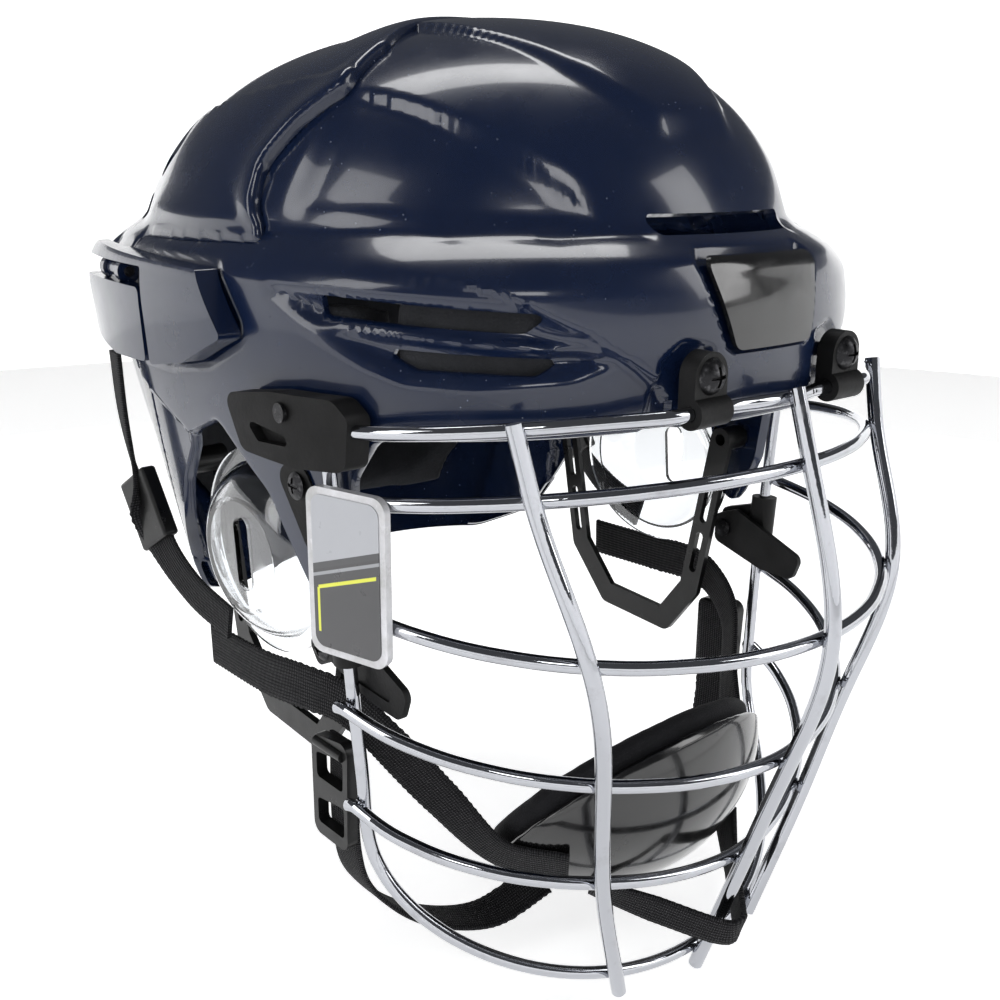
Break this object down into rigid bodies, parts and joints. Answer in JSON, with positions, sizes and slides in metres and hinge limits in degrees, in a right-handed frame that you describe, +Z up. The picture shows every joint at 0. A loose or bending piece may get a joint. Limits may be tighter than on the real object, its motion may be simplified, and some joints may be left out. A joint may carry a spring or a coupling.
{
  "type": "hockey helmet cage",
  "caption": "Ice hockey helmet with a two-part navy shell, a chromed wire face cage hinged at the brow, clear ear guards, webbing straps and a padded chin cup.",
  "frame": {"origin": "middle of the wearer's head between the ears, 149.5 mm below the crown and 109.4 mm behind the cage's hinge line", "axes": "+Z up through the crown, -Y the way the wearer faces, X across the head with the wearer's right at -X"},
  "size_m": [0.2162, 0.2918, 0.2778],
  "materials": {
    "shell_navy": "high gloss navy with a fine sparkle",
    "black_matte": "matte moulded black",
    "black_gloss": "gloss black",
    "chrome_wire": "bright chrome plate",
    "black_screws": "black oxide, semi-gloss",
    "foam": "closed-cell foam",
    "cup_foam": "soft moulded pad",
    "cup_lining": "grey knitted lining",
    "webbing": "woven black webbing",
    "clear_guard": "clear polycarbonate",
    "label": "printed panel with a bright rim"
  },
  "bodies": {
    "helmet": {"front_shell": "shell_navy", "brow_plate": "black_gloss", "front_pad": "foam", "crown_pad": "foam", "side_screws": "black_screws", "jclip_screws": "black_screws", "side_pad_right": "foam", "side_pad_left": "foam", "ear_guard_right": "clear_guard", "ear_guard_left": "clear_guard", "ear_loop_right": "black_matte", "ear_loop_left": "black_matte", "slot_plate_right": "black_matte", "slot_plate_left": "black_matte", "latch_base_right": "shell_navy", "latch_base_left": "shell_navy", "latch_pin_right": "black_screws", "latch_pin_left": "black_screws", "rear_strap_right": "webbing", "rear_strap_left": "webbing", "rear_strap_tab_right": "black_matte", "rear_strap_tab_left": "black_matte", "jclip_right": "black_matte", "jclip_left": "black_matte"},
    "rear": {"rear_shell": "shell_navy", "rear_pad": "foam", "rear_crown_pad": "foam", "occipital_pad": "foam"},
    "cage": {"brow_bar": "chrome_wire", "eye_bar_upper": "chrome_wire", "eye_bar_lower": "chrome_wire", "mouth_bar_upper": "chrome_wire", "mouth_bar_lower": "chrome_wire", "side_frame": "chrome_wire", "upright_right": "chrome_wire", "upright_centre": "chrome_wire", "upright_left": "chrome_wire", "bumper_rivets": "black_screws", "label_plate": "label", "snap_studs": "black_screws", "chin_cup_shell": "black_gloss", "chin_cup_pad": "cup_foam", "chin_cup_lining": "cup_lining", "front_strap": "webbing", "side_bumper_right": "black_matte", "side_bumper_left": "black_matte", "snap_loop_right": "black_matte", "snap_loop_left": "black_matte", "upper_strap_right": "webbing", "upper_strap_left": "webbing", "lower_strap_right": "webbing", "lower_strap_left": "webbing", "ladder_lock_right": "black_matte", "ladder_lock_left": "black_matte"},
    "latch_right": {"latch_flap_right": "black_gloss"},
    "latch_left": {"latch_flap_left": "black_gloss"},
    "tab_right": {"snap_tab_right": "black_matte"},
    "tab_left": {"snap_tab_left": "black_matte"}
  },
  "joints": [
    {"name": "cage_flip", "type": "hinge", "parent": "helmet", "child": "cage", "pos_m": [0, -0.1094, 0.0526], "axis": [-1, 0, 0], "range_deg": [0, 70]},
    {"name": "rear_shell_slide", "type": "slide", "parent": "helmet", "child": "rear", "axis": [0, 1, 0], "range_m": [0, 0.012]},
    {"name": "latch_flip_right", "type": "hinge", "parent": "helmet", "child": "latch_right", "pos_m": [-0.1018, 0.058, 0.0785], "axis": [0.1483, 0.9889, 0], "range_deg": [0, 45]},
    {"name": "latch_flip_left", "type": "hinge", "parent": "helmet", "child": "latch_left", "pos_m": [0.1018, 0.058, 0.0785], "axis": [0.1483, -0.9889, 0], "range_deg": [0, 45]},
    {"name": "snap_tab_turn_right", "type": "hinge", "parent": "cage", "child": "tab_right", "pos_m": [-0.085, -0.029, -0.0195], "axis": [-1, 0, 0], "range_deg": [0, 20]},
    {"name": "snap_tab_turn_left", "type": "hinge", "parent": "cage", "child": "tab_left", "pos_m": [0.085, -0.029, -0.0195], "axis": [-1, 0, 0], "range_deg": [0, 20]}
  ]
}
